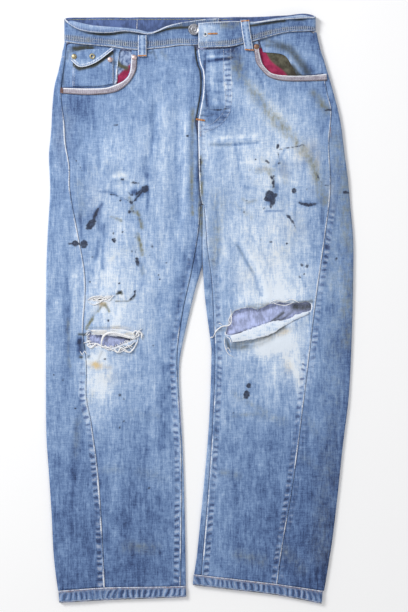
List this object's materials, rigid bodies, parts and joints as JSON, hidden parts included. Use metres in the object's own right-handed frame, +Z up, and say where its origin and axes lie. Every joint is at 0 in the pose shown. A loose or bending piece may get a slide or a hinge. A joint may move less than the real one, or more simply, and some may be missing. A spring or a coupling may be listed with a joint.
{
  "type": "ripped jeans",
  "caption": "Worn, faded jeans laid flat on their back: twisted-seam legs with torn knees, curved front pockets, a coin pocket with a flap, belt loops and a rolled waistband.",
  "frame": {"origin": "centre of the garment's outline on the surface it lies on", "axes": "+Z up, +Y from the hems to the waist, +X to the wearer's left"},
  "size_m": [0.5434, 1.0398, 0.0192],
  "materials": {
    "denim_front": "faded twill, pale at thighs and knees, stained",
    "denim_back": "faded twill, mid blue",
    "denim_band": "faded twill with worn white edges",
    "frayed_denim": "bare white weft threads",
    "binding": "pale worn pocket edge",
    "lining": "plain red cotton",
    "brass_rivets": "tarnished",
    "grey_metal": "worn"
  },
  "bodies": {
    "root": {"front_right": "denim_front", "front_left": "denim_front", "back_right": "denim_back", "yoke_right": "denim_back", "hem_right": "denim_front", "back_pocket_right": "denim_back", "pocket_binding_right": "binding", "pocket_facing_right": "denim_front", "pocket_bag_right": "lining", "back_left": "denim_back", "yoke_left": "denim_back", "hem_left": "denim_front", "back_pocket_left": "denim_back", "pocket_binding_left": "binding", "pocket_facing_left": "denim_front", "pocket_bag_left": "lining", "waistband": "denim_band", "fly_underlap": "denim_front", "loop_front_right": "denim_front", "loop_front_left": "denim_front", "loop_back_1": "denim_back", "loop_back_2": "denim_back", "loop_back_3": "denim_back", "coin_pocket": "denim_front", "coin_flap": "denim_front", "knee_strip_left": "frayed_denim", "knee_fringe_right": "frayed_denim", "waist_button": "grey_metal", "rivet_coin_flap": "brass_rivets", "rivet_coin_pocket": "brass_rivets", "eyelet_coin_flap": "grey_metal", "rivet_pocket_right": "brass_rivets", "rivet_pocket_left": "brass_rivets"}
  },
  "joints": []
}
